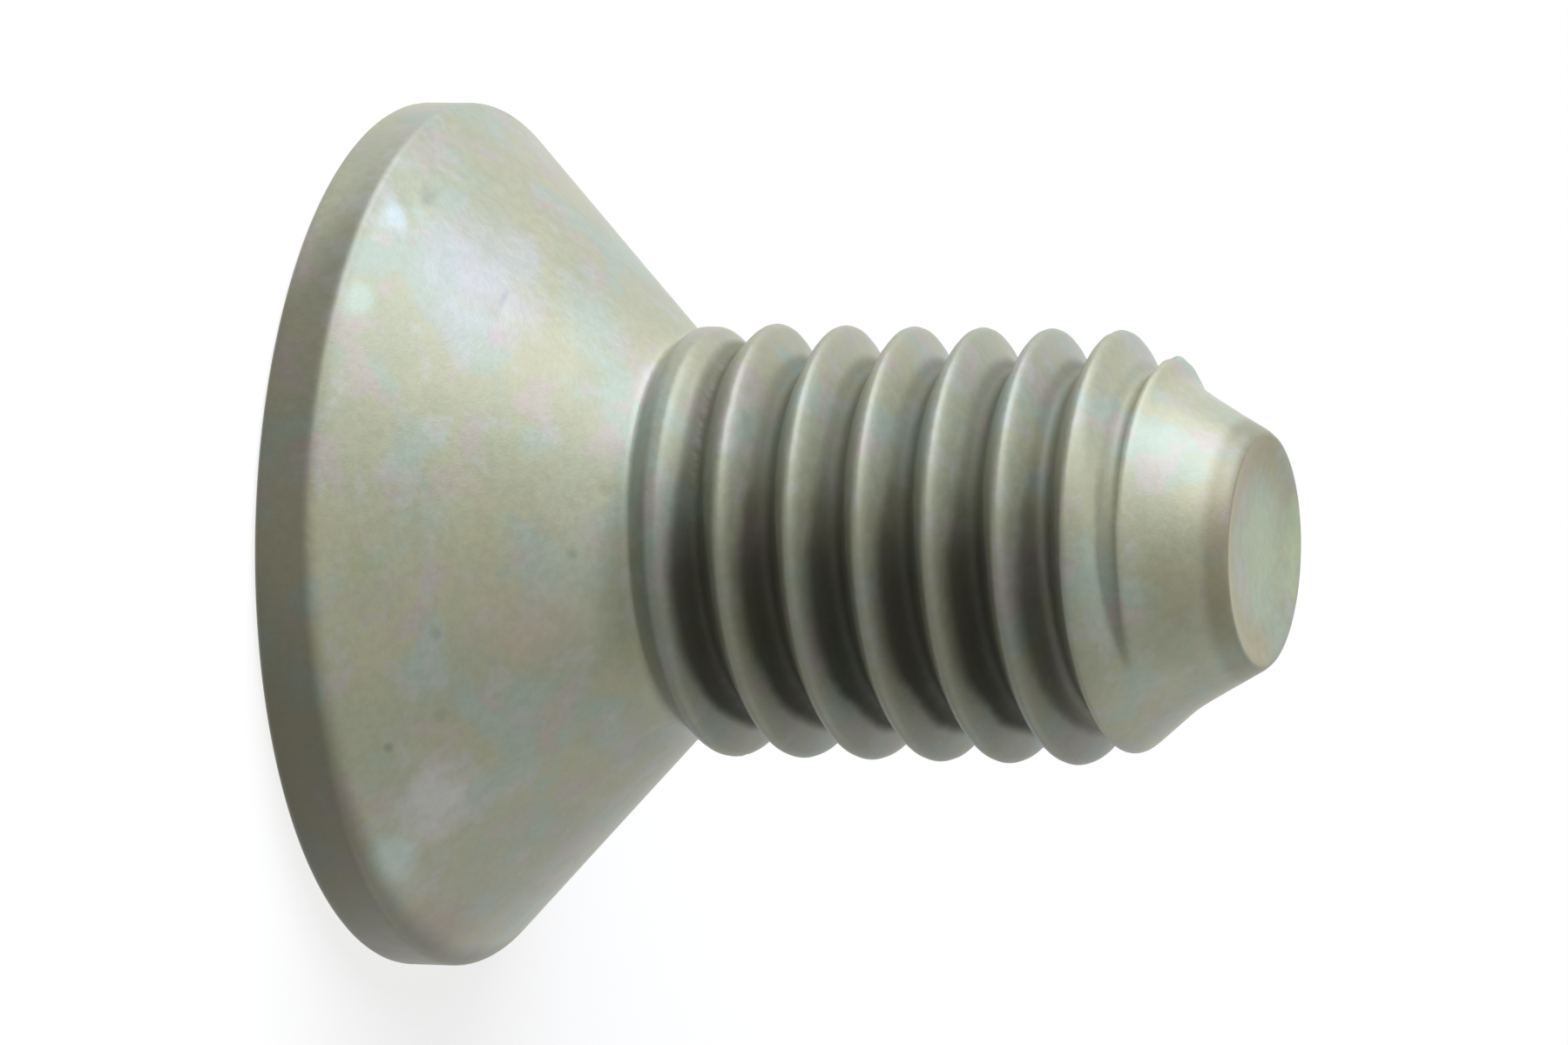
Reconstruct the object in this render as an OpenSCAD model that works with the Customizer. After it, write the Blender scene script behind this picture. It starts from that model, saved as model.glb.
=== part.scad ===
// Short countersunk machine screw with a hexagon socket, standing on its flat head.
// Millimetres. The origin is the middle of the head's flat face, and +Z runs to the tip.

/* [Head] */
// Diameter of the head over its rim
head_d = 12; // [10.5:0.1:14]
// Height of the straight rim between the flat face and the cone
rim_h = 0.8; // [0.4:0.05:1.2]
// Included angle of the countersunk cone
cone_angle = 90; // [80:1:100]
// Rounding of the rim's edge at the flat face
face_edge_r = 0.12; // [0.04:0.01:0.18]
// Rounding of the rim's edge at the cone
cone_edge_r = 0.15; // [0.04:0.01:0.2]

/* [Drive socket] */
// Width of the hexagon socket across its flats
socket_af = 4; // [3:0.1:5]
// Depth of the socket's flats below the face
socket_depth = 2.3; // [1.5:0.1:2.8]
// Included angle of the socket's pointed floor
socket_point_angle = 120; // [110:1:140]
// Outer diameter of the chamfer around the socket's mouth
socket_mouth_d = 4.9; // [4.5:0.1:6]

/* [Thread] */
// Outer diameter of the thread
thread_d = 6; // [5.4:0.1:7]
// Rise of the thread in one turn
pitch = 1; // [0.7:0.05:1.25]
// Angle between the two flanks of the thread
flank_angle = 60; // [55:1:64]
// Turns over which the ridge grows to its full height out of the cone
runout_turns = 0.6; // [0.3:0.05:1.2]
// Direction in which the ridge begins, about the axis
thread_start_angle = 1; // [0:1:360]

/* [Tip] */
// Length of the whole screw from the flat face to the tip
length = 12.4; // [11:0.1:25]
// Diameter of the end face
tip_d = 3.24; // [2.8:0.02:3.6]
// Diameter where the chamfer on the thread meets the tapered point
point_d = 4.4; // [4:0.02:4.5]
// Slope of the tapered point, from the axis
point_slope = 29; // [25:1:40]
// Slope of the chamfer on the last thread, from the axis
chamfer_slope = 40.5; // [32:0.5:50]
// Rounding of the end face's edge
tip_edge_r = 0.1; // [0.03:0.01:0.15]
// Depth of the shallow dish in the end face
dish_depth = 0.14; // [0.05:0.01:0.3]

/* [Hidden] */

// Facets around a full turn, for round solids and for the thread's flanks
round_facets = 120;
turn_facets = 40;
// Steps in a rounded edge
edge_steps = 5;
// How far one shape runs into another, so that their faces cross cleanly
overrun = 0.06;

// Thread form: a sharp V of this height, cut flat at the crest and at the root
sharp_h = pitch / 2 / tan(flank_angle / 2);
thread_depth = 17 / 24 * sharp_h;
crest_flat = pitch / 8;
major_r = thread_d / 2;
core_r = major_r - thread_depth;

// Heights along the axis
point_z = length - (point_d - tip_d) / 2 / tan(point_slope);
chamfer_z = point_z - (major_r - point_d / 2) / tan(chamfer_slope);

// The ridge begins inside the cone, at the height where that is as wide as the thread,
// and ends past the chamfer, outside the shank
ridge_base_r = core_r - overrun;
ridge_top_r = major_r + overrun;
ridge_start_z = rim_h + (head_d / 2 - major_r) / tan(cone_angle / 2);
ridge_end_z = point_z + pitch;
ridge_steps = ceil((ridge_end_z - ridge_start_z) / pitch * turn_facets);
ridge_corners = 4;

// Points of a rounded edge: an arc about a centre, from one direction to another
function arc(centre, r, from, to) =
    [for (i = [0 : edge_steps]) let (a = from + (to - from) * i / edge_steps)
        centre + r * [cos(a), sin(a)]];

// Half the ridge's width along the axis at a radius, on a ridge whose crest is cut at the outer diameter
function ridge_half(r) = crest_flat / 2 + (major_r - r) * tan(flank_angle / 2);

// How far the ridge is sunk towards the core at a step, from its full depth to nothing
function ridge_sunk(i) =
    (thread_depth + overrun) * max(0, 1 - i / turn_facets / runout_turns);

// One point of the ridge: step along the helix, radius, and distance from the ridge's middle along the axis
function ridge_point(i, r, offset) =
    let (a = thread_start_angle + 360 * i / turn_facets)
    [r * cos(a), r * sin(a), ridge_start_z + pitch * i / turn_facets + offset];

// The ridge's section at a step: foot and top on the head side, then top and foot on the tip side
function ridge_section(i) =
    let (top_r = ridge_top_r - ridge_sunk(i),
         foot = ridge_half(ridge_base_r + ridge_sunk(i)),
         top = ridge_half(ridge_top_r))
    [ridge_point(i, ridge_base_r, -foot), ridge_point(i, top_r, -top),
     ridge_point(i, top_r, top), ridge_point(i, ridge_base_r, foot)];

module head() {
    rim_r = head_d / 2;
    cone_tilt = cone_angle / 2;
    cone_turn = 90 - cone_tilt;
    cone_edge_z = rim_h - cone_edge_r * tan(cone_turn / 2);
    inner_r = core_r - overrun;
    rotate_extrude($fn = round_facets)
        polygon(concat(
            [[0, 0]],
            arc([rim_r - face_edge_r, face_edge_r], face_edge_r, -90, 0),
            arc([rim_r - cone_edge_r, cone_edge_z], cone_edge_r, 0, cone_turn),
            [[inner_r, rim_h + (rim_r - inner_r) / tan(cone_tilt)],
             [0, rim_h + (rim_r - inner_r) / tan(cone_tilt)]]));
}

// Everything that the shank may fill: outer diameter, chamfer, tapered point and dished end
module shank_outline() {
    tip_r = tip_d / 2;
    edge_turn = 90 - point_slope;
    edge_r_out = tip_edge_r * tan(edge_turn / 2);
    rotate_extrude($fn = round_facets)
        polygon(concat(
            [[0, rim_h], [major_r, rim_h], [major_r, chamfer_z], [point_d / 2, point_z]],
            arc([tip_r - edge_r_out, length - tip_edge_r], tip_edge_r, edge_turn, 90),
            [[0, length - dish_depth]]));
}

module thread_ridge() {
    last = ridge_steps * ridge_corners;
    polyhedron(
        points = [for (i = [0 : ridge_steps]) each ridge_section(i)],
        faces = concat(
            [[for (c = [0 : ridge_corners - 1]) ridge_corners - 1 - c]],
            [for (i = [0 : ridge_steps - 1], c = [0 : ridge_corners - 1])
                let (a = i * ridge_corners + c,
                     b = i * ridge_corners + (c + 1) % ridge_corners)
                each [[a, b, a + ridge_corners], [b, b + ridge_corners, a + ridge_corners]]],
            [[for (c = [0 : ridge_corners - 1]) last + c]]));
}

module shank() {
    intersection() {
        shank_outline();
        union() {
            translate([0, 0, rim_h]) cylinder(r = core_r, h = length, $fn = round_facets);
            thread_ridge();
        }
    }
}

module drive_socket() {
    flat_r = socket_af / 2;
    mouth_r = socket_mouth_d / 2 + overrun;
    translate([0, 0, -overrun]) {
        cylinder(r = flat_r / cos(30), h = socket_depth + overrun, $fn = 6);
        cylinder(r1 = mouth_r, r2 = 0, h = mouth_r, $fn = round_facets);
    }
    translate([0, 0, socket_depth - overrun])
        cylinder(r1 = flat_r, r2 = 0, h = flat_r / tan(socket_point_angle / 2), $fn = round_facets);
}

module screw() {
    color([0.62, 0.63, 0.57])
        difference() {
            union() {
                head();
                shank();
            }
            drive_socket();
        }
}

screw();
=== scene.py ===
import math
import bpy
import numpy as np
from mathutils import Matrix, Vector


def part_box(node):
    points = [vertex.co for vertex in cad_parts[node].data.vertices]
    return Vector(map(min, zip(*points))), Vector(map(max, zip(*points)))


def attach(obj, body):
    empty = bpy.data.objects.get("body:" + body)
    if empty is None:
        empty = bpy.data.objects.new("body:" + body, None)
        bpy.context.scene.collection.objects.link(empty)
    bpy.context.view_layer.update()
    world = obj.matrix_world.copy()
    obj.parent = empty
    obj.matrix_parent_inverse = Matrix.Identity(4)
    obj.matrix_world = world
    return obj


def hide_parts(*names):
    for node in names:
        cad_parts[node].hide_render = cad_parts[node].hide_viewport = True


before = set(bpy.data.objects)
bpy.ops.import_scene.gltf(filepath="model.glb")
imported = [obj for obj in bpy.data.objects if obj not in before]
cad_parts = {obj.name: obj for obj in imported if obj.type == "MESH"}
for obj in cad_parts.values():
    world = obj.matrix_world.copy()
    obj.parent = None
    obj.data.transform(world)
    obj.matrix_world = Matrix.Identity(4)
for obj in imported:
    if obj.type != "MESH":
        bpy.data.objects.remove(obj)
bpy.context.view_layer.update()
screwLow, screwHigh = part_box("screw")
mm = 0.001  # the shapes below are worked out in millimetres
print("frame loaded, screw from", tuple(screwLow), "to", tuple(screwHigh))

scene = bpy.context.scene
scene.view_settings.view_transform = "Standard"


# the screw: radius as a function of height and angle, on a grid that follows the thread

screwForm = {
    "headRadius": (screwHigh.x - screwLow.x) / 2 / mm,
    "length": (screwHigh.z - screwLow.z) / mm,
    "rimHeight": 0.8,
    "coneSlope": 45.0,        # degrees from the axis
    "faceEdge": 0.12,         # rounding of the rim at the flat face
    "coneEdge": 0.17,         # rounding of the rim at the cone
    "socketFlat": 2.0,        # from the axis to a flat of the hexagon
    "socketDepth": 2.3,
    "socketPoint": 60.0,      # half angle of the pointed floor
    "socketFloor": 0.97,      # radius of that floor, as a share of the distance to a flat
    "socketMouth": 2.45,      # outer radius of the mouth's chamfer
    "threadRadius": 3.0,
    "threadDepth": 0.6134,
    "pitch": 1.0,
    "flankSlope": 30.0,       # half the angle between two flanks
    "crestFlat": 0.125,
    "crestNose": 0.02,        # rounding of the sharp ridge, before its crest is cut
    "crestRound": 0.09,
    "rootRound": 0.1,
    "startAngle": 1.0,        # where the ridge starts to rise, at the height where the cone is as wide
    "runoutTurns": 0.6,       # turns until the ridge has its full height
    "sunkMost": 1.25,         # how far below that it lies before its start, in thread depths
    "fillRise": 0.26,         # how much the groove is filled beside the head
    "startWiden": 0.14,       # how much wider the ridge's crest is there
    "fillTurns": (0.45, 1.05),    # turns along the thread between which both run out
    "footRound": 0.1,         # rounding where the cone runs into the shank
    "pointRadius": 2.2,       # where the chamfer on the thread meets the tapered point
    "pointSlope": 29.0,       # degrees from the axis
    "chamferSlope": 40.5,
    "pointRound": 0.05,       # rounding between thread, chamfer and point
    "tipRadius": 1.62,
    "tipEdge": 0.1,
    "dishDepth": 0.14,
    "dishCurve": 4.0,         # power of the dish's profile: higher is flatter in the middle
    "burrAngle": 172.0,       # the ridge's rolled end stands up a little on the chamfer
    "burrHeight": 11.0,
    "burrRise": 0.2,
    "burrSpread": (28.0, 0.13),   # degrees around, millimetres along
}
# how finely the skin is divided
skinGrid = {
    "columns": 288,           # steps around, a multiple of six for the hexagon
    "helixRows": 20,          # rows in one turn of the thread
    "helixSpan": (3.5, 11.45),    # heights between which the rows climb with the thread
    "earlyTurns": 2,          # turns that the rows start below that
    "spareTurns": 3,          # turns that they have more than it needs
    "snap": 0.000001,         # a row this close to either height lies on it
    "floorRows": 9,
    "wallRows": 9,
    "mouthRows": 4,
    "faceRows": 9,
    "edgeRows": 6,            # in each rounded edge
    "rimRows": 8,
    "coneRows": 42,
    "taperRows": 14,
    "dishRows": 12,
    "wallFirst": 0.02,        # first row of the socket's wall, as a share of the wall
    "mouthFirst": 0.04,       # and of its mouth's chamfer
    "faceInset": 0.03,        # from the face's edges to its first and last row
}
columns, helixRows = skinGrid["columns"], skinGrid["helixRows"]
threadFrom, threadTo = skinGrid["helixSpan"]


def tangent(degrees):
    return math.tan(math.radians(degrees))


tipRun = (screwForm["pointRadius"] - screwForm["tipRadius"]) / tangent(screwForm["pointSlope"])
pointHeight = screwForm["length"] - tipRun
coreRadius = screwForm["threadRadius"] - screwForm["threadDepth"]
coneRun = (screwForm["headRadius"] - screwForm["threadRadius"]) / tangent(screwForm["coneSlope"])
ridgeStart = screwForm["rimHeight"] + coneRun


# the larger of two values, with the corner between them rounded over about the blend
def softMax(a, b, blend):
    return (a + b + np.sqrt((a - b) ** 2 + blend ** 2)) / 2


def softMin(a, b, blend):
    return -softMax(-a, -b, blend)


# 0 below the low value, 1 above the high one, and an S-shaped rise between them
def smoothStep(value, low, high):
    t = np.clip((value - low) / (high - low), 0, 1)
    return t * t * (3 - 2 * t)


# 1 where the thread starts, and 0 once it has its full form
def startShare(turns):
    return 1 - smoothStep(turns, *screwForm["fillTurns"])


# distance from the ridge's middle line, turns along the ridge, and height above the core:
# a V with straight flanks, cut at the crest, that rises out of the core over its first part of a turn
def ridgeAt(z, theta):
    f = screwForm
    turned = (theta - math.radians(f["startAngle"])) / (2 * math.pi)
    steps = (z - ridgeStart) / f["pitch"] - turned
    nearest = np.round(steps)
    away = (steps - nearest) * f["pitch"]
    along = nearest + turned
    widen = f["startWiden"] * startShare(along)
    flank = np.where(away > 0, np.maximum(away - widen, 0), away)
    rise = (f["crestFlat"] / 2 - np.sqrt(flank ** 2 + f["crestNose"] ** 2)) / tangent(f["flankSlope"])
    height = softMin(f["threadDepth"] + rise, f["threadDepth"], f["crestRound"])
    sunk = f["threadDepth"] * np.clip(1 - along / f["runoutTurns"], 0, f["sunkMost"])
    return away, along, height - sunk


# what cuts the thread off at the tip: chamfer and tapered point, with the burr as a bell-shaped rise
def tipRadiusAt(z, theta):
    f = screwForm
    chamfer = f["pointRadius"] + (pointHeight - z) * tangent(f["chamferSlope"])
    taper = f["pointRadius"] + (pointHeight - z) * tangent(f["pointSlope"])
    around = (np.degrees(theta) - f["burrAngle"]) / f["burrSpread"][0]
    along = (z - f["burrHeight"]) / f["burrSpread"][1]
    return softMax(chamfer, taper, f["pointRound"]) + f["burrRise"] * np.exp(-around ** 2 - along ** 2)


# outer radius: the largest of cone, core and ridge, cut off at the tip
def outerRadius(z, theta):
    f = screwForm
    cone = f["headRadius"] - (z - f["rimHeight"]) * tangent(f["coneSlope"])
    away, along, ridge = ridgeAt(z, theta)
    fill = f["fillRise"] * startShare(along - (away < 0))    # counted on the groove's own turns
    shank = coreRadius + fill + softMax(0.0, ridge, f["rootRound"]) * (1 - fill / f["threadDepth"])
    body = softMax(cone, shank, f["footRound"])
    return softMin(body, tipRadiusAt(z, theta), f["pointRound"])


# heights and radii along a rounded edge, about a centre, between two directions in degrees
def edgeArc(centreR, centreZ, radius, fromAngle, toAngle):
    a = np.radians(np.linspace(fromAngle, toAngle, skinGrid["edgeRows"]))
    return centreR + radius * np.cos(a), centreZ + radius * np.sin(a)


# one ring of the skin: radius and height at every angle
def ringRow(r, z, theta):
    ones = np.ones_like(theta)
    return np.stack([r * ones, z * ones], -1)


# rings from the socket's pole to the cone; the hexagon's radius is the distance to a flat, divided by
# the cosine of the angle from that flat's middle
def headRows(theta):
    f, g = screwForm, skinGrid
    hexR = f["socketFlat"] / np.cos(np.mod(theta, math.pi / 3) - math.pi / 6)
    floorR = f["socketFloor"] * f["socketFlat"]
    mouthZ = f["socketMouth"] - hexR
    rows = []

    def add(r, z):
        rows.append(ringRow(r, z, theta))

    for r in np.linspace(0, floorR, g["floorRows"]):
        add(r, f["socketDepth"] + (floorR - r) / tangent(f["socketPoint"]))
    for t in (0.5, 1.0):      # from the round floor out to the hexagon
        add(floorR + t * (hexR - floorR), f["socketDepth"])
    for t in np.linspace(g["wallFirst"], 1, g["wallRows"]):
        add(hexR, f["socketDepth"] + t * (mouthZ - f["socketDepth"]))
    for t in np.linspace(g["mouthFirst"], 1, g["mouthRows"]):
        add(hexR + t * (f["socketMouth"] - hexR), mouthZ * (1 - t))
    faceFrom = f["socketMouth"] + g["faceInset"]
    faceTo = f["headRadius"] - f["faceEdge"] - g["faceInset"]
    for r in np.linspace(faceFrom, faceTo, g["faceRows"]):
        add(r, 0.0)
    low = edgeArc(f["headRadius"] - f["faceEdge"], f["faceEdge"], f["faceEdge"], -90, 0)
    turn = 90 - f["coneSlope"]
    highZ = f["rimHeight"] - f["coneEdge"] * tangent(turn / 2)
    high = edgeArc(f["headRadius"] - f["coneEdge"], highZ, f["coneEdge"], 0, turn)
    for r, z in zip(*low):
        add(r, z)
    for z in np.linspace(low[1][-1], high[1][0], g["rimRows"])[1:-1]:
        add(f["headRadius"], z)
    for r, z in zip(*high):
        add(r, z)
    for z in np.linspace(high[1][-1], threadFrom, g["coneRows"])[1:]:
        add(outerRadius(z, theta), z)
    return np.array(rows)


# rings from the top of the thread over the tip's edge into the dish, whose depth falls off with a power
# of the distance from the axis
def tipRows(theta):
    f, g = screwForm, skinGrid
    turn = 90 - f["pointSlope"]
    inset = f["tipEdge"] * tangent(turn / 2)
    edgeR, edgeZ = edgeArc(f["tipRadius"] - inset, f["length"] - f["tipEdge"], f["tipEdge"], turn, 90)
    rows = []
    for z in np.linspace(threadTo, edgeZ[0], g["taperRows"])[:-1]:
        rows.append(ringRow(outerRadius(z, theta), z, theta))
    for r, z in zip(edgeR, edgeZ):
        rows.append(ringRow(r, z, theta))
    for share in np.linspace(1, 0, g["dishRows"])[1:]:
        depth = f["dishDepth"] * (1 - share ** f["dishCurve"])
        rows.append(ringRow(edgeR[-1] * share, f["length"] - depth, theta))
    return np.array(rows)


# shallow unevenness of a pressed and tumbled part
tumbleMarks = {
    "seed": 11,
    "waves": 6,
    "waveTurn": 2.2,          # largest turn of a wave in one millimetre, in radians
    "waveHeight": 0.004,
    "dents": 70,
    "dentDepth": 0.016,
    "dentShare": (0.3, 1.0),  # of that depth
    "dentSize": (0.1, 0.26),
    "dentEnds": (0.05, 0.2),  # how far from either end of the screw they stay
    "deepDents": [            # dents that show: angle about the axis, height, size and depth
        (217.5, 1.17, 0.24, 0.028),
        (226.0, 2.42, 0.12, 0.02),
        (300.0, 1.95, 0.15, 0.012),
    ],
    "mouthGap": 0.3,          # the socket stays true: from its mouth outwards
    "floorGap": 1.5,          # and above its depth
    "faceGap": 0.02,          # so do both end faces
    "rimGap": 0.05,           # and nothing stands out of the rim
}


# depth of the wear: a mean of long sine waves, and round dents that fall off as a bell
def wornAway(x, y, z):
    m = tumbleMarks
    rng = np.random.default_rng(m["seed"])
    drawn = rng.uniform(-m["waveTurn"], m["waveTurn"], (m["waves"], 4))
    waves = sum(np.sin(x * a + y * b + z * c + d) for a, b, c, d in drawn)
    lowest, highest = m["dentEnds"][0], screwForm["length"] - m["dentEnds"][1]
    places = rng.uniform((-math.pi, lowest), (math.pi, highest), (m["dents"], 2))
    deep = np.array(m["deepDents"])
    sizes = np.append(rng.uniform(*m["dentSize"], m["dents"]), deep[:, 2])
    depths = np.append(m["dentDepth"] * rng.uniform(*m["dentShare"], m["dents"]), deep[:, 3])
    places = np.concatenate([places, deep[:, :2] * (math.radians(1), 1)])
    reach = outerRadius(np.maximum(places[:, 1], screwForm["rimHeight"]), places[:, 0])
    centre = np.stack([reach * np.cos(places[:, 0]), reach * np.sin(places[:, 0]), places[:, 1]], 1)
    gap = (x[..., None] - centre[:, 0]) ** 2 + (y[..., None] - centre[:, 1]) ** 2
    gap += (z[..., None] - centre[:, 2]) ** 2
    dents = (depths * np.exp(-gap / sizes ** 2)).sum(-1)
    return m["waveHeight"] * waves / m["waves"] + dents


# radius less the wear, where there is any
def wornRadius(r, z, theta):
    f, m = screwForm, tumbleMarks
    outside = (r > f["socketMouth"] + m["mouthGap"]) | (z > f["socketDepth"] + m["floorGap"])
    offFaces = (z > m["faceGap"]) & (z < f["length"] - m["faceGap"])
    worn = np.where(outside & offFaces, wornAway(r * np.cos(theta), r * np.sin(theta), z), 0.0)
    return r - np.maximum(worn, -m["waveHeight"] * (r < f["headRadius"] - m["rimGap"]))


# where a groove begins and is full: distance from the ridge's middle on either side, depth below the crest,
# the groove's own turns along the thread, and distance from the tapered point
grooveForm = {
    "tipSide": (0.06, 0.44),
    "headSide": (0.03, 0.42),
    "below": (-0.01, 0.1),
    "turns": (0.05, 0.5),
    "beforeTip": (0.0, 0.2),
}


# from 0 on the ridge's crest to 1 at the groove's root, as a product of smooth steps
def grooveShare(r, z, theta):
    f, g = screwForm, grooveForm
    away, along, _ = ridgeAt(z, theta)
    tipSide = smoothStep(away - f["startWiden"] / 2 * startShare(along), *g["tipSide"])
    groove = np.where(away > 0, tipSide, smoothStep(-away, *g["headSide"]))
    below = np.minimum(f["threadRadius"], tipRadiusAt(z, theta)) - r
    groove *= smoothStep(below, *g["below"]) * smoothStep(along - (away < 0), *g["turns"])
    return groove * smoothStep(pointHeight - z, *g["beforeTip"])


# two triangles for each cell of a grid of vertex numbers, without the cells that have closed up
def gridTriangles(numbers):
    a, b = numbers[:-1, :-1].ravel(), numbers[:-1, 1:].ravel()
    c, d = numbers[1:, 1:].ravel(), numbers[1:, :-1].ravel()
    both = np.concatenate([np.stack([a, b, c], 1), np.stack([a, c, d], 1)])
    flat = (both[:, 0] == both[:, 1]) | (both[:, 1] == both[:, 2]) | (both[:, 0] == both[:, 2])
    return both[~flat]


# a grid's first column once more at its end, so that its rings close
def closeRings(numbers):
    return np.concatenate([numbers, numbers[:, :1]], 1)


# the whole skin: rings below and above, and between them rows that climb one pitch in each turn
def screwSkin():
    f, g = screwForm, skinGrid
    theta = 2 * math.pi * np.arange(columns) / columns
    head, tip = headRows(theta), tipRows(theta)
    turns = math.ceil((threadTo - threadFrom) / f["pitch"]) + g["spareTurns"]
    phase = (ridgeStart - f["pitch"] * f["startAngle"] / 360 - threadFrom) % f["pitch"]
    step = np.arange(turns * helixRows + 1) / helixRows
    firstZ = threadFrom - g["earlyTurns"] * f["pitch"] + phase
    threadZ = firstZ + f["pitch"] * (step[:, None] + theta / (2 * math.pi))
    free = (threadZ > threadFrom + g["snap"]) & (threadZ < threadTo - g["snap"])
    freeZ = threadZ[free]
    freeTheta = np.broadcast_to(theta, threadZ.shape)[free]

    # vertex numbers: head, tip, then the free rows, with every other row taken into the nearest ring
    headNumber = np.arange(head.shape[0] * columns).reshape(head.shape[:2])
    tipNumber = head.shape[0] * columns + np.arange(tip.shape[0] * columns).reshape(tip.shape[:2])
    headNumber[0], tipNumber[-1] = headNumber[0, 0], tipNumber[-1, 0]    # both poles are one point
    threadNumber = np.where(threadZ <= threadFrom + g["snap"], headNumber[-1], tipNumber[0])
    threadNumber[free] = (head.shape[0] + tip.shape[0]) * columns + np.arange(freeZ.size)
    climb = np.concatenate([threadNumber[:-helixRows], threadNumber[helixRows:, :1]], 1)

    ring = np.concatenate([head, tip]).reshape(-1, 2)
    around = np.concatenate([np.tile(theta, head.shape[0] + tip.shape[0]), freeTheta])
    z = np.concatenate([ring[:, 1], freeZ])
    r = wornRadius(np.concatenate([ring[:, 0], outerRadius(freeZ, freeTheta)]), z, around)
    points = np.stack([r * np.cos(around), r * np.sin(around), z], 1)
    groove = grooveShare(r, z, around)

    grids = closeRings(headNumber), climb, closeRings(tipNumber)
    triangles = np.concatenate([gridTriangles(numbers) for numbers in grids])
    used = np.unique(triangles)
    renumber = np.zeros(len(points), int)
    renumber[used] = np.arange(used.size)
    return points[used] * mm, renumber[triangles], groove[used]


def meshPiece(name, points, triangles):
    mesh = bpy.data.meshes.new(name)
    mesh.from_pydata(points.tolist(), [], triangles.tolist())
    mesh.shade_smooth()
    piece = bpy.data.objects.new(name, mesh)
    scene.collection.objects.link(piece)
    return piece


# only the socket keeps sharp edges: all others have their rounding in the mesh
sharpEdges = {"angle": 38.0, "radius": 2.46, "height": 3.6}    # a little past the socket's mouth and point


def sharpenSocket(mesh):
    s = sharpEdges
    mesh.set_sharp_from_angle(angle=math.radians(s["angle"]))
    ends = np.empty(len(mesh.edges) * 2, int)
    mesh.edges.foreach_get("vertices", ends)
    places = np.empty(len(mesh.vertices) * 3)
    mesh.vertices.foreach_get("co", places)
    x, y, z = places.reshape(-1, 3).T / mm
    inSocket = (np.hypot(x, y) < s["radius"]) & (z < s["height"])
    sharp = mesh.attributes["sharp_edge"].data
    marked = np.empty(len(mesh.edges), bool)
    sharp.foreach_get("value", marked)
    sharp.foreach_set("value", marked & inSocket[ends.reshape(-1, 2)].all(1))


skinPoints, skinTriangles, skinGroove = screwSkin()
screwPiece = meshPiece("screw_skin", skinPoints, skinTriangles)
sharpenSocket(screwPiece.data)
grooveLayer = screwPiece.data.attributes.new("groove", "FLOAT", "POINT")
grooveLayer.data.foreach_set("value", skinGroove.astype(np.float32))
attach(screwPiece, "root")
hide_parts("screw")
print("screw skin:", len(skinPoints), "points,", len(skinTriangles), "triangles")


# finishes

# a socket of a node tree: sums and products of wires add Math nodes, node() makes any other
class Wire:
    def __init__(self, tree, socket=None):
        self.tree, self.socket = tree, socket

    def node(self, kind, settings=None, sockets=None, output=0):
        made = self.tree.nodes.new(kind)
        for name, value in (settings or {}).items():
            setattr(made, name, value)
        for name, value in (sockets or {}).items():
            if isinstance(value, Wire):
                self.tree.links.new(value.socket, made.inputs[name])
            else:
                made.inputs[name].default_value = value
        return Wire(self.tree, made.outputs[output] if made.outputs else None)

    def calc(self, operation, first, second=0.0):
        return self.node("ShaderNodeMath", {"operation": operation}, {0: first, 1: second})

    def __add__(self, other):
        return self.calc("ADD", self, other)

    def __radd__(self, other):
        return self.calc("ADD", other, self)

    def __sub__(self, other):
        return self.calc("SUBTRACT", self, other)

    def __rsub__(self, other):
        return self.calc("SUBTRACT", other, self)

    def __mul__(self, other):
        return self.calc("MULTIPLY", self, other)

    def __rmul__(self, other):
        return self.calc("MULTIPLY", other, self)

    def noise(self, place, scale, detail=3.0, rough=0.5):
        return self.node("ShaderNodeTexNoise", {"noise_dimensions": "3D"},
                         {"Vector": place, "Scale": scale, "Detail": detail, "Roughness": rough}, "Fac")

    def sway(self, place, scale, detail, height):    # noise about zero
        return (self.noise(place, scale, detail) - 0.5) * height

    def between(self, value, low, high):    # a smooth step from 0 to 1
        return self.node("ShaderNodeMapRange", {"interpolation_type": "SMOOTHSTEP"},
                         {"Value": value, "From Min": low, "From Max": high})

    def axis(self, place, name):
        return self.node("ShaderNodeSeparateXYZ", sockets={0: place}, output=name)

    def length(self, place):
        return self.node("ShaderNodeVectorMath", {"operation": "LENGTH"}, {0: place}, "Value")

    def mix(self, share, first, second, way="MIX"):
        return self.node("ShaderNodeMix", {"data_type": "RGBA", "blend_type": way},
                         {0: share, 6: first, 7: second}, 2)


def newMaterial(name):
    material = bpy.data.materials.new(name)
    material.use_nodes = True
    material.node_tree.nodes.clear()
    return material, Wire(material.node_tree)


# faint clouds of tint over the olive ground: noise in each millimetre, its detail, and where a cloud begins
# and is full
zincClouds = {
    "straw": {"tint": (0.41, 0.408, 0.275, 1), "share": 1.0,
              "scale": 0.55, "detail": 3, "limits": (0.4, 0.62)},
    "mint": {"tint": (0.35, 0.43, 0.36, 1), "share": 0.8,
             "scale": 0.9, "detail": 4, "limits": (0.5, 0.62)},
    "rose": {"tint": (0.43, 0.385, 0.34, 1), "share": 0.8,
             "scale": 1.4, "detail": 4, "limits": (0.53, 0.64)},
    "pale": {"tint": (0.43, 0.44, 0.40, 1), "share": 0.6,
             "scale": 2.1, "detail": 3, "limits": (0.55, 0.66)},
}


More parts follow.
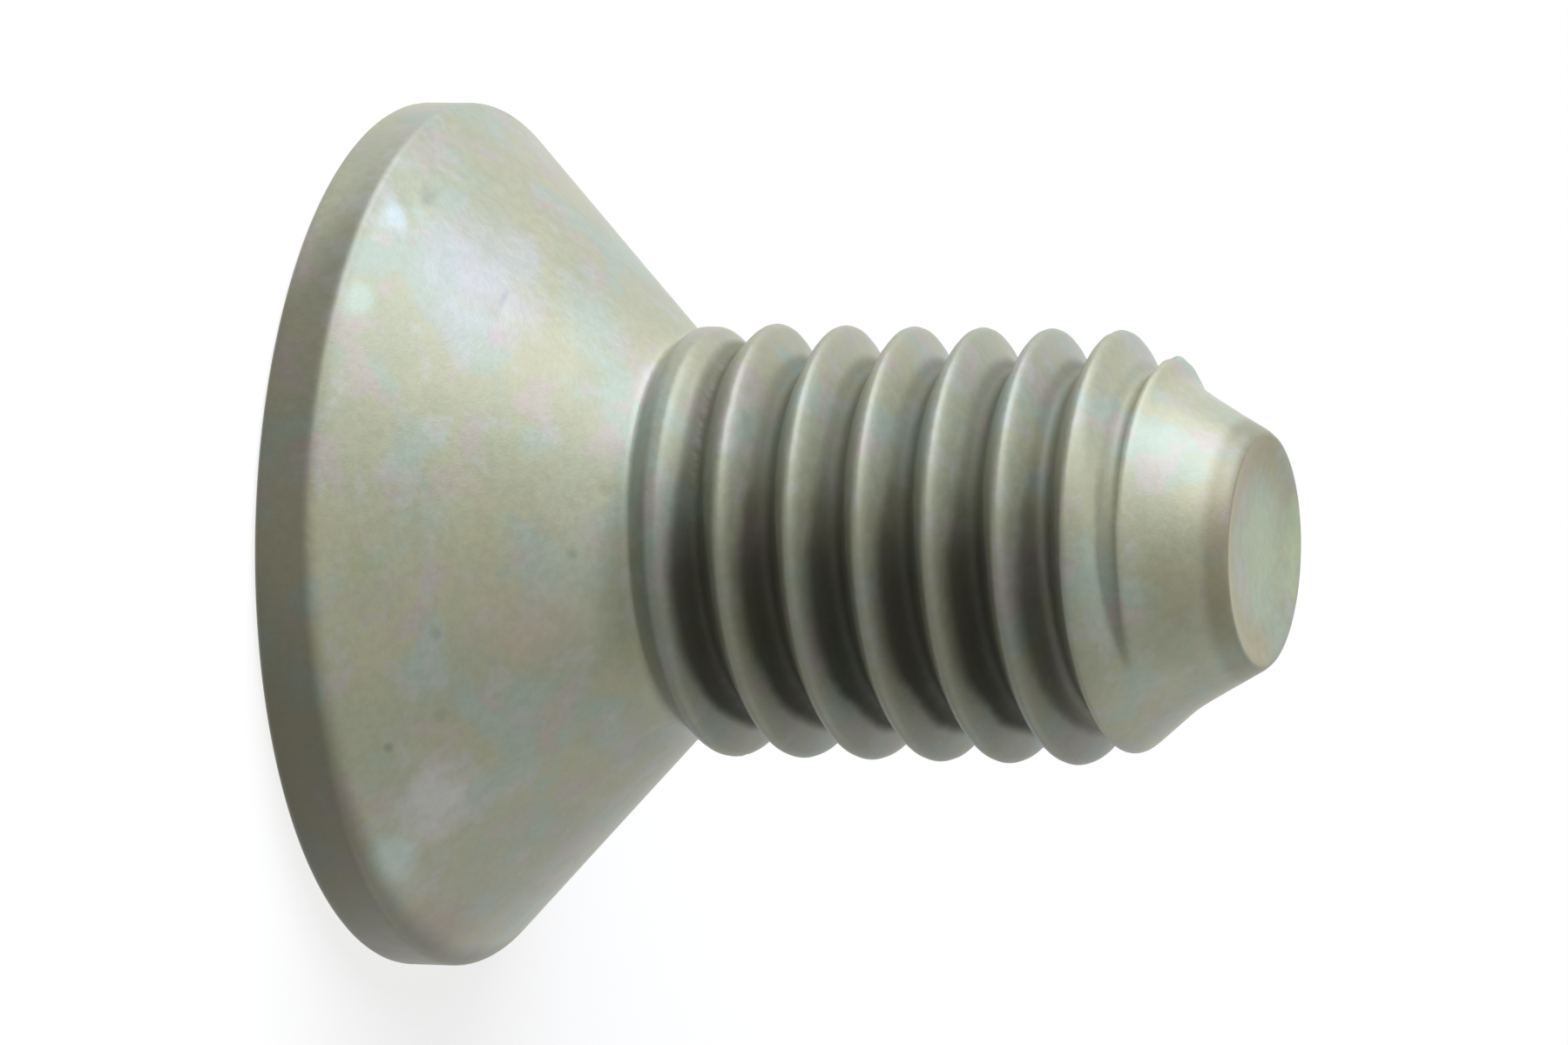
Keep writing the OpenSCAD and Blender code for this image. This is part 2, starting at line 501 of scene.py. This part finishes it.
def cloudedZinc(start, inMm, ground):
    colour = ground
    for cloud in zincClouds.values():
        haze = start.between(start.noise(inMm, cloud["scale"], cloud["detail"]), *cloud["limits"])
        colour = start.mix(haze * cloud["share"], colour, cloud["tint"])
    return colour


# marks on the cone and the tip: angle about the axis, height, half sizes along the slope and around, tint and
# its share; a mark on the tip also has its distance from the axis
surfaceMarks = {
    "nick": {"angle": 222.8, "height": 2.39, "size": (0.07, 0.23),
             "tint": (0.13, 0.14, 0.13, 1), "share": 0.8},
    "nickStain": {"angle": 231.3, "height": 2.45, "size": (0.2, 0.28),
                  "tint": (0.47, 0.34, 0.36, 1), "share": 0.7},
    # painted shade: the wall of the deep dent at 217.5 degrees that faces away from the lamps
    "dentShade": {"angle": 214.2, "height": 1.28, "size": (0.2, 0.32),
               "tint": (0.2, 0.22, 0.2, 1), "share": 0.6},
    # painted highlight: the wall of that dent that faces the lamps
    "dentHighlight": {"angle": 221.0, "height": 1.06, "size": (0.3, 0.4),
                   "tint": (0.5, 0.6, 0.64, 1), "share": 0.8},
    "mintSpot": {"angle": 237.5, "height": 1.02, "size": (0.3, 0.4),
                 "tint": (0.44, 0.55, 0.47, 1), "share": 0.7},
    "paleField": {"angle": 222.0, "height": 2.1, "size": (1.2, 1.5),
                  "tint": (0.44, 0.45, 0.47, 1), "share": 0.75},
    "mintField": {"angle": 213.0, "height": 3.3, "size": (0.7, 0.9),
                  "tint": (0.38, 0.46, 0.39, 1), "share": 0.7},
    "strawField": {"angle": 267.0, "height": 2.5, "size": (0.8, 0.7),
                   "tint": (0.42, 0.42, 0.25, 1), "share": 0.6},
    "roseField": {"angle": 290.0, "height": 3.1, "size": (1.1, 0.8),
                  "tint": (0.47, 0.40, 0.31, 1), "share": 0.7},
    "lowPale": {"angle": 316.0, "height": 1.75, "size": (0.8, 1.0),
                "tint": (0.55, 0.55, 0.54, 1), "share": 0.85},
    "lowMint": {"angle": 322.0, "height": 1.15, "size": (0.5, 0.8),
                "tint": (0.5, 0.6, 0.55, 1), "share": 0.9},
    "lowBrown": {"angle": 343.0, "height": 1.15, "size": (0.55, 1.0),
                 "tint": (0.36, 0.29, 0.21, 1), "share": 0.85},
    # painted light: a paler patch that lifts the shade on the cone where it runs into the shank
    "neckPale": {"angle": 276.0, "height": 3.6, "size": (0.7, 1.6),
                 "tint": (0.46, 0.48, 0.37, 1), "share": 0.6},
    "edgeStraw": {"angle": 277.0, "height": 1.4, "size": (0.6, 0.8),
                  "tint": (0.35, 0.38, 0.22, 1), "share": 0.6},
    "faceMint": {"angle": 90.0, "height": 12.27, "reach": 0.3, "size": (1.3, 1.2),
                 "tint": (0.43, 0.53, 0.34, 1), "share": 0.8},
    # painted light: lightens the end face's edge towards +Y, where the dish's slope shades it
    "faceLight": {"angle": 90.0, "height": 12.37, "reach": 1.4, "size": (0.4, 0.9),
                  "tint": (0.5, 0.59, 0.36, 1), "share": 0.8},
    "pointStraw": {"angle": 283.0, "height": 11.7, "reach": 2.0, "size": (0.6, 0.8),
                   "tint": (0.34, 0.33, 0.2, 1), "share": 0.7},
    "dotA": {"angle": 274.2, "height": 3.56, "size": (0.12, 0.12),
             "tint": (0.2, 0.24, 0.18, 1), "share": 0.4},
    "dotB": {"angle": 286.8, "height": 2.1, "size": (0.12, 0.12),
             "tint": (0.2, 0.21, 0.16, 1), "share": 0.45},
    "dotC": {"angle": 301.2, "height": 2.04, "size": (0.14, 0.14),
             "tint": (0.22, 0.22, 0.16, 1), "share": 0.35},
    "dotD": {"angle": 303.0, "height": 1.44, "size": (0.1, 0.1),
             "tint": (0.16, 0.13, 0.1, 1), "share": 0.5},
}
markEdge = {"fray": (2.6, 3, 1.1), "fade": (0.15, 1.1)}    # noise scale, detail and height; distances


# 1 in the middle of a mark and 0 outside it: distance from its middle in half sizes, with a frayed edge
def markMask(start, inMm, fray, mark):
    turn = math.radians(mark["angle"])
    reach = mark.get("reach", screwForm["headRadius"] - (mark["height"] - screwForm["rimHeight"]))
    along, around = mark["size"]
    local = start.node("ShaderNodeMapping", {"vector_type": "TEXTURE"}, {
        "Vector": inMm, "Location": (reach * math.cos(turn), reach * math.sin(turn), mark["height"]),
        "Rotation": (0, 0, turn), "Scale": (along, around, along)})
    return 1 - start.between(start.length(local) + fray, *markEdge["fade"])


# a darker band on the rim, with painted light on the lamp side and painted shade on the far side, in
# millimetres across the axis
rimBand = {
    "light": (0.85, 0.84, 0.82, 1),
    "shade": (0.43, 0.41, 0.365, 1),
    "dark": (0.345, 0.325, 0.265, 1),
    "worn": (-4.6, -2.4),     # across the axis, from the painted light on the lamp side to the band's middle tone
    "litLean": 1.6,          # the painted light reaches further round at the face than at the cone
    "farShade": (0.6, 2.6),       # across the axis, from the band's middle tone to the painted shade on the far side
    "begins": (0.0, 0.06),    # heights between which the band sets in
    "fades": (0.66, 0.96),    # and between which it fades out
    "fadeLean": 0.035,        # how much higher it reaches on the dark side, for each millimetre across
}


def tintRimBand(start, colour, across, up):
    c = rimBand
    lean = start.calc("MAXIMUM", across, 0.0) * c["fadeLean"]
    rim = (1 - start.between(up - lean, *c["fades"])) * start.between(up, *c["begins"])
    # painted light on the lamp side (-X) and painted shade on the far side (+X)
    tint = start.mix(start.between(across + up * c["litLean"], *c["worn"]), c["light"], c["shade"])
    tint = start.mix(start.between(across, *c["farShade"]), tint, c["dark"])
    return start.mix(rim, colour, tint, "MULTIPLY")


# painted shade on one side of the tip (towards -Y): a brownish darkening along the end's edge, and in a ring
# on the end face where the dish's rim shades it
tipShade = {
    "edgeTint": (0.66, 0.63, 0.56, 1),
    "ringTint": (0.9, 0.79, 0.6, 1),
    "heights": (12.0, 12.2),
    "side": (0.0, 1.2),       # where they fade out, along Y
    "edge": (1.5, 1.64),      # distances from the axis
    "ring": (0.8, 1.3),
    "ringFray": 0.3,
}


def shadeTip(start, colour, inMm, up, fray):
    t = tipShade
    flat = start.node("ShaderNodeVectorMath", {"operation": "MULTIPLY"}, {0: inMm, 1: (1, 1, 0)})
    radius = start.length(flat)
    tipEnd = start.between(up, *t["heights"]) * (1 - start.between(start.axis(inMm, "Y"), *t["side"]))
    edge = start.between(radius, *t["edge"])
    ring = start.between(radius + fray * t["ringFray"], *t["ring"])
    # painted shade along the end's edge and in the ring on the end face
    colour = start.mix(tipEnd * edge, colour, t["edgeTint"], "MULTIPLY")
    return start.mix(tipEnd * ring * (1 - edge), colour, t["ringTint"], "MULTIPLY")


# painted shade on the thread, stronger on the side away from the lamps, and a darker painted shade in its
# grooves, which there also lose coat and metal and get rougher
threadShade = {
    "litTint": (0.8, 0.8, 0.8, 1),
    "shadedTint": (0.57, 0.57, 0.56, 1),
    "litGroove": (0.6, 0.59, 0.56, 1),
    "shadedGroove": (0.25, 0.24, 0.21, 1),
    "begins": (4.0, 4.5),     # heights between which the painted shade sets in
    "stops": (10.2, 10.9),    # and between which it runs out
    "side": (-1.3, 0.6),      # across the axis, from the lit side to the shaded one
    "thins": (1.45, 2.8),     # and where the groove shade gets lighter again
    "litDepths": (0.6, 1.0),    # how deep in the groove the painted shade begins and is full, on the lit side
    "shadedDepths": (0.05, 0.6),   # and on the shaded side
    "lastGroove": (9.6, 10.1),    # heights from which the last groove has less of it
    "lastLighter": 0.5,         # by this share
}


def shadeThread(start, colour, across, up):
    d = threadShade
    thread = start.between(up, *d["begins"]) * (1 - start.between(up, *d["stops"]))
    shadedSide = start.between(across, *d["side"])
    # painted shade: the thread darker, more so on the side away from the lamps
    colour = start.mix(thread, colour, start.mix(shadedSide, d["litTint"], d["shadedTint"]), "MULTIPLY")
    depth = start.node("ShaderNodeAttribute", {"attribute_name": "groove"}, output="Fac")
    shadedShare = shadedSide * (1 - start.between(across, *d["thins"]))
    litFrom, litFull = d["litDepths"]
    shadedFrom, shadedFull = d["shadedDepths"]
    shadeFrom = litFrom + shadedShare * (shadedFrom - litFrom)
    shadeFull = litFull + shadedShare * (shadedFull - litFull)
    grooveShade = start.between(depth, shadeFrom, shadeFull)
    grooveShade = grooveShade * (1 - start.between(up, *d["lastGroove"]) * d["lastLighter"])
    # painted shade in the grooves
    colour = start.mix(grooveShade, colour, start.mix(shadedSide, d["litGroove"], d["shadedGroove"]), "MULTIPLY")
    return colour, grooveShade


# matt zinc plating with a fine grain; what is noise has its scale, detail and, for a sway, its height
zincPlating = {
    "olive": (0.365, 0.387, 0.272, 1),
    "wobble": (1.1, 2, 1.2),      # of the borders across the axis
    "speckle": (7.0, 4, 0.6),     # scale, detail and roughness
    "speckleLimits": (0.36, 0.64),
    "speckleDark": (0.72, 0.72, 0.70, 1),
    "speckleLight": (1.22, 1.22, 1.22, 1),
    "speckleShare": 0.2,
    "metallic": 0.3,
    "roughness": 0.5,
    "roughSway": (2.5, 4, 0.16),
    "roughSpeckle": 0.05,         # what the speckle adds to the roughness, and what the painted groove shade does
    "roughGrooveShade": 0.2,
    "coat": 0.6,
    "coatRoughness": 0.42,
    "coarseGrain": (12.0, 3),
    "fineGrain": (40.0, 2),
    "fineShare": 0.6,
    "grainHeight": 0.000004,      # in metres
}


def zincMaterial():
    p = zincPlating
    material, start = newMaterial("zinc_plating")
    place = start.node("ShaderNodeTexCoord", output="Object")
    inMm = start.node("ShaderNodeVectorMath", {"operation": "SCALE"}, {0: place, "Scale": 1 / mm})
    up = start.axis(inMm, "Z")
    across = start.axis(inMm, "X") + start.sway(inMm, *p["wobble"])
    fray = start.sway(inMm, *markEdge["fray"])

    colour = cloudedZinc(start, inMm, p["olive"])
    for mark in surfaceMarks.values():
        colour = start.mix(markMask(start, inMm, fray, mark) * mark["share"], colour, mark["tint"])
    speckle = start.between(start.noise(inMm, *p["speckle"]), *p["speckleLimits"])
    speckleTint = start.mix(speckle, p["speckleDark"], p["speckleLight"])
    colour = start.mix(p["speckleShare"], colour, speckleTint, "MULTIPLY")
    colour = tintRimBand(start, colour, across, up)
    colour = shadeTip(start, colour, inMm, up, fray)
    colour, grooveShade = shadeThread(start, colour, across, up)

    rough = p["roughness"] + start.sway(inMm, *p["roughSway"])
    rough = rough + (speckle - 0.5) * p["roughSpeckle"] + grooveShade * p["roughGrooveShade"]
    grain = start.noise(inMm, *p["coarseGrain"]) + start.noise(inMm, *p["fineGrain"]) * p["fineShare"]
    bump = start.node("ShaderNodeBump", sockets={
        "Strength": 1.0, "Distance": p["grainHeight"], "Height": grain})
    shader = start.node("ShaderNodeBsdfPrincipled", sockets={
        "Base Color": colour, "Metallic": (1 - grooveShade) * p["metallic"], "Roughness": rough, "Normal": bump,
        "Coat Weight": (1 - grooveShade) * p["coat"], "Coat Roughness": p["coatRoughness"]}, output="BSDF")
    start.node("ShaderNodeOutputMaterial", sockets={"Surface": shader})
    return material


screwPiece.data.materials.append(zincMaterial())
print("zinc plating made")


# stage: a white floor, soft lamps and a pale surround

studio = {
    "floorSize": 3.0,
    "floorDrop": 0.00002,     # a hair below the head's face, so that the two don't flicker
    "floorColour": (0.4, 0.4, 0.4, 1),
    "floorGlow": 0.8,         # what the floor adds of its own, so that it shows white
    "surround": (1, 1, 1, 1),
    "surroundStrength": 0.02,
    "lampAim": 6.0,           # height on the axis that the lamps face, in millimetres
}
# level is the light that a white card facing the lamp gives back
lamps = {
    "windowLamp": {"towards": (-1, 0, 0.3), "distance": 0.6, "size": 0.55,
                   "level": 0.74, "colour": (0.95, 1, 1.17)},
    "sideLamp": {"towards": (-0.7, -0.1, 0.8), "distance": 0.6, "size": 0.45,
                 "level": 0.31, "colour": (0.98, 1, 1.04)},
    "frontLamp": {"towards": (-0.7, -0.6, 0.4), "distance": 0.6, "size": 0.45,
                  "level": 0.3, "colour": (1, 1, 0.97)},
    "lowLamp": {"towards": (0.95, 0.25, 0.33), "distance": 0.6, "size": 0.45,
                "level": 0.1, "colour": (1, 0.99, 0.9)},
}


# 1 for the rays that show the background, straight or by way of a gloss or glass, and 0 for those that light
def backgroundRay(start):
    seen = start.node("ShaderNodeLightPath", output="Is Camera Ray")
    seen = seen + start.node("ShaderNodeLightPath", output="Is Glossy Ray")
    return seen + start.node("ShaderNodeLightPath", output="Is Transmission Ray")


def buildFloor():
    s = studio
    half = s["floorSize"] / 2
    low = -s["floorDrop"]
    corners = np.array([(-half, -half, low), (half, -half, low), (half, half, low), (-half, half, low)])
    floor = meshPiece("floor", corners, np.array([(0, 1, 2), (0, 2, 3)]))
    material, start = newMaterial("floor_white")
    lit = start.node("ShaderNodeBsdfDiffuse", sockets={"Color": s["floorColour"]})
    glow = start.node("ShaderNodeEmission", sockets={"Strength": backgroundRay(start) * s["floorGlow"]})
    both = start.node("ShaderNodeAddShader", sockets={0: lit, 1: glow})
    start.node("ShaderNodeOutputMaterial", sockets={"Surface": both})
    floor.data.materials.append(material)


def buildSurround():
    s = studio
    world = bpy.data.worlds.new("surround")
    world.use_nodes = True
    world.node_tree.nodes.clear()
    start = Wire(world.node_tree)
    strength = s["surroundStrength"] + backgroundRay(start) * (1 - s["surroundStrength"])
    light = start.node("ShaderNodeBackground", sockets={"Color": s["surround"], "Strength": strength})
    start.node("ShaderNodeOutputWorld", sockets={"Surface": light})
    scene.world = world


def buildLamps():
    for name, form in lamps.items():
        lamp = bpy.data.lights.new(name, "AREA")
        lamp.shape, lamp.size = "DISK", form["size"]
        lamp.energy = form["level"] * math.pi ** 2 * form["distance"] ** 2
        lamp.color = form["colour"]
        lampObject = bpy.data.objects.new(name, lamp)
        way = Vector(form["towards"]).normalized()
        lampObject.location = Vector((0, 0, studio["lampAim"] * mm)) + way * form["distance"]
        lampObject.rotation_euler = way.to_track_quat("Z", "Y").to_euler()
        lampObject.visible_camera = False
        scene.collection.objects.link(lampObject)


buildFloor()
buildSurround()
buildLamps()
print("stage and lamps made")


# camera: looks down a little at the side of the standing screw, turned so that the tip points right

viewpoint = {
    "aimHeight": 6.0,         # height on the axis, in millimetres
    "distance": 180.0,
    "lookDown": 20.17,        # degrees
    "roll": 1.2,
    "frameWidth": 21.575,     # width of the view at the axis, in millimetres
    "aimShift": (-0.537, 0.263),   # of the frame's middle from the aim, right and up, in millimetres
    "sensorWidth": 36,
    "clip": (0.01, 5),        # in metres
}


def buildCamera():
    v = viewpoint
    down, roll = math.radians(v["lookDown"]), math.radians(v["roll"])
    back = Vector((0, -math.cos(down), math.sin(down)))
    along, upright = Vector((0, math.sin(down), math.cos(down))), Vector((-1, 0, 0))
    right = along * math.cos(roll) + upright * math.sin(roll)
    up = upright * math.cos(roll) - along * math.sin(roll)
    aim = Vector((0, 0, v["aimHeight"]))
    eye = aim + back * v["distance"]
    middle = aim + right * v["aimShift"][0] + up * v["aimShift"][1]
    back = (eye - middle).normalized()
    right = up.cross(back).normalized()
    up = back.cross(right)
    camera = bpy.data.cameras.new("camera")
    camera.sensor_width = v["sensorWidth"]
    camera.lens = camera.sensor_width * v["distance"] / v["frameWidth"]
    camera.clip_start, camera.clip_end = v["clip"]
    cameraObject = bpy.data.objects.new("camera", camera)
    axes = Matrix((right, up, back)).transposed().to_4x4()
    cameraObject.matrix_world = Matrix.Translation(eye * mm) @ axes
    scene.collection.objects.link(cameraObject)
    scene.camera = cameraObject


buildCamera()
print("camera set")
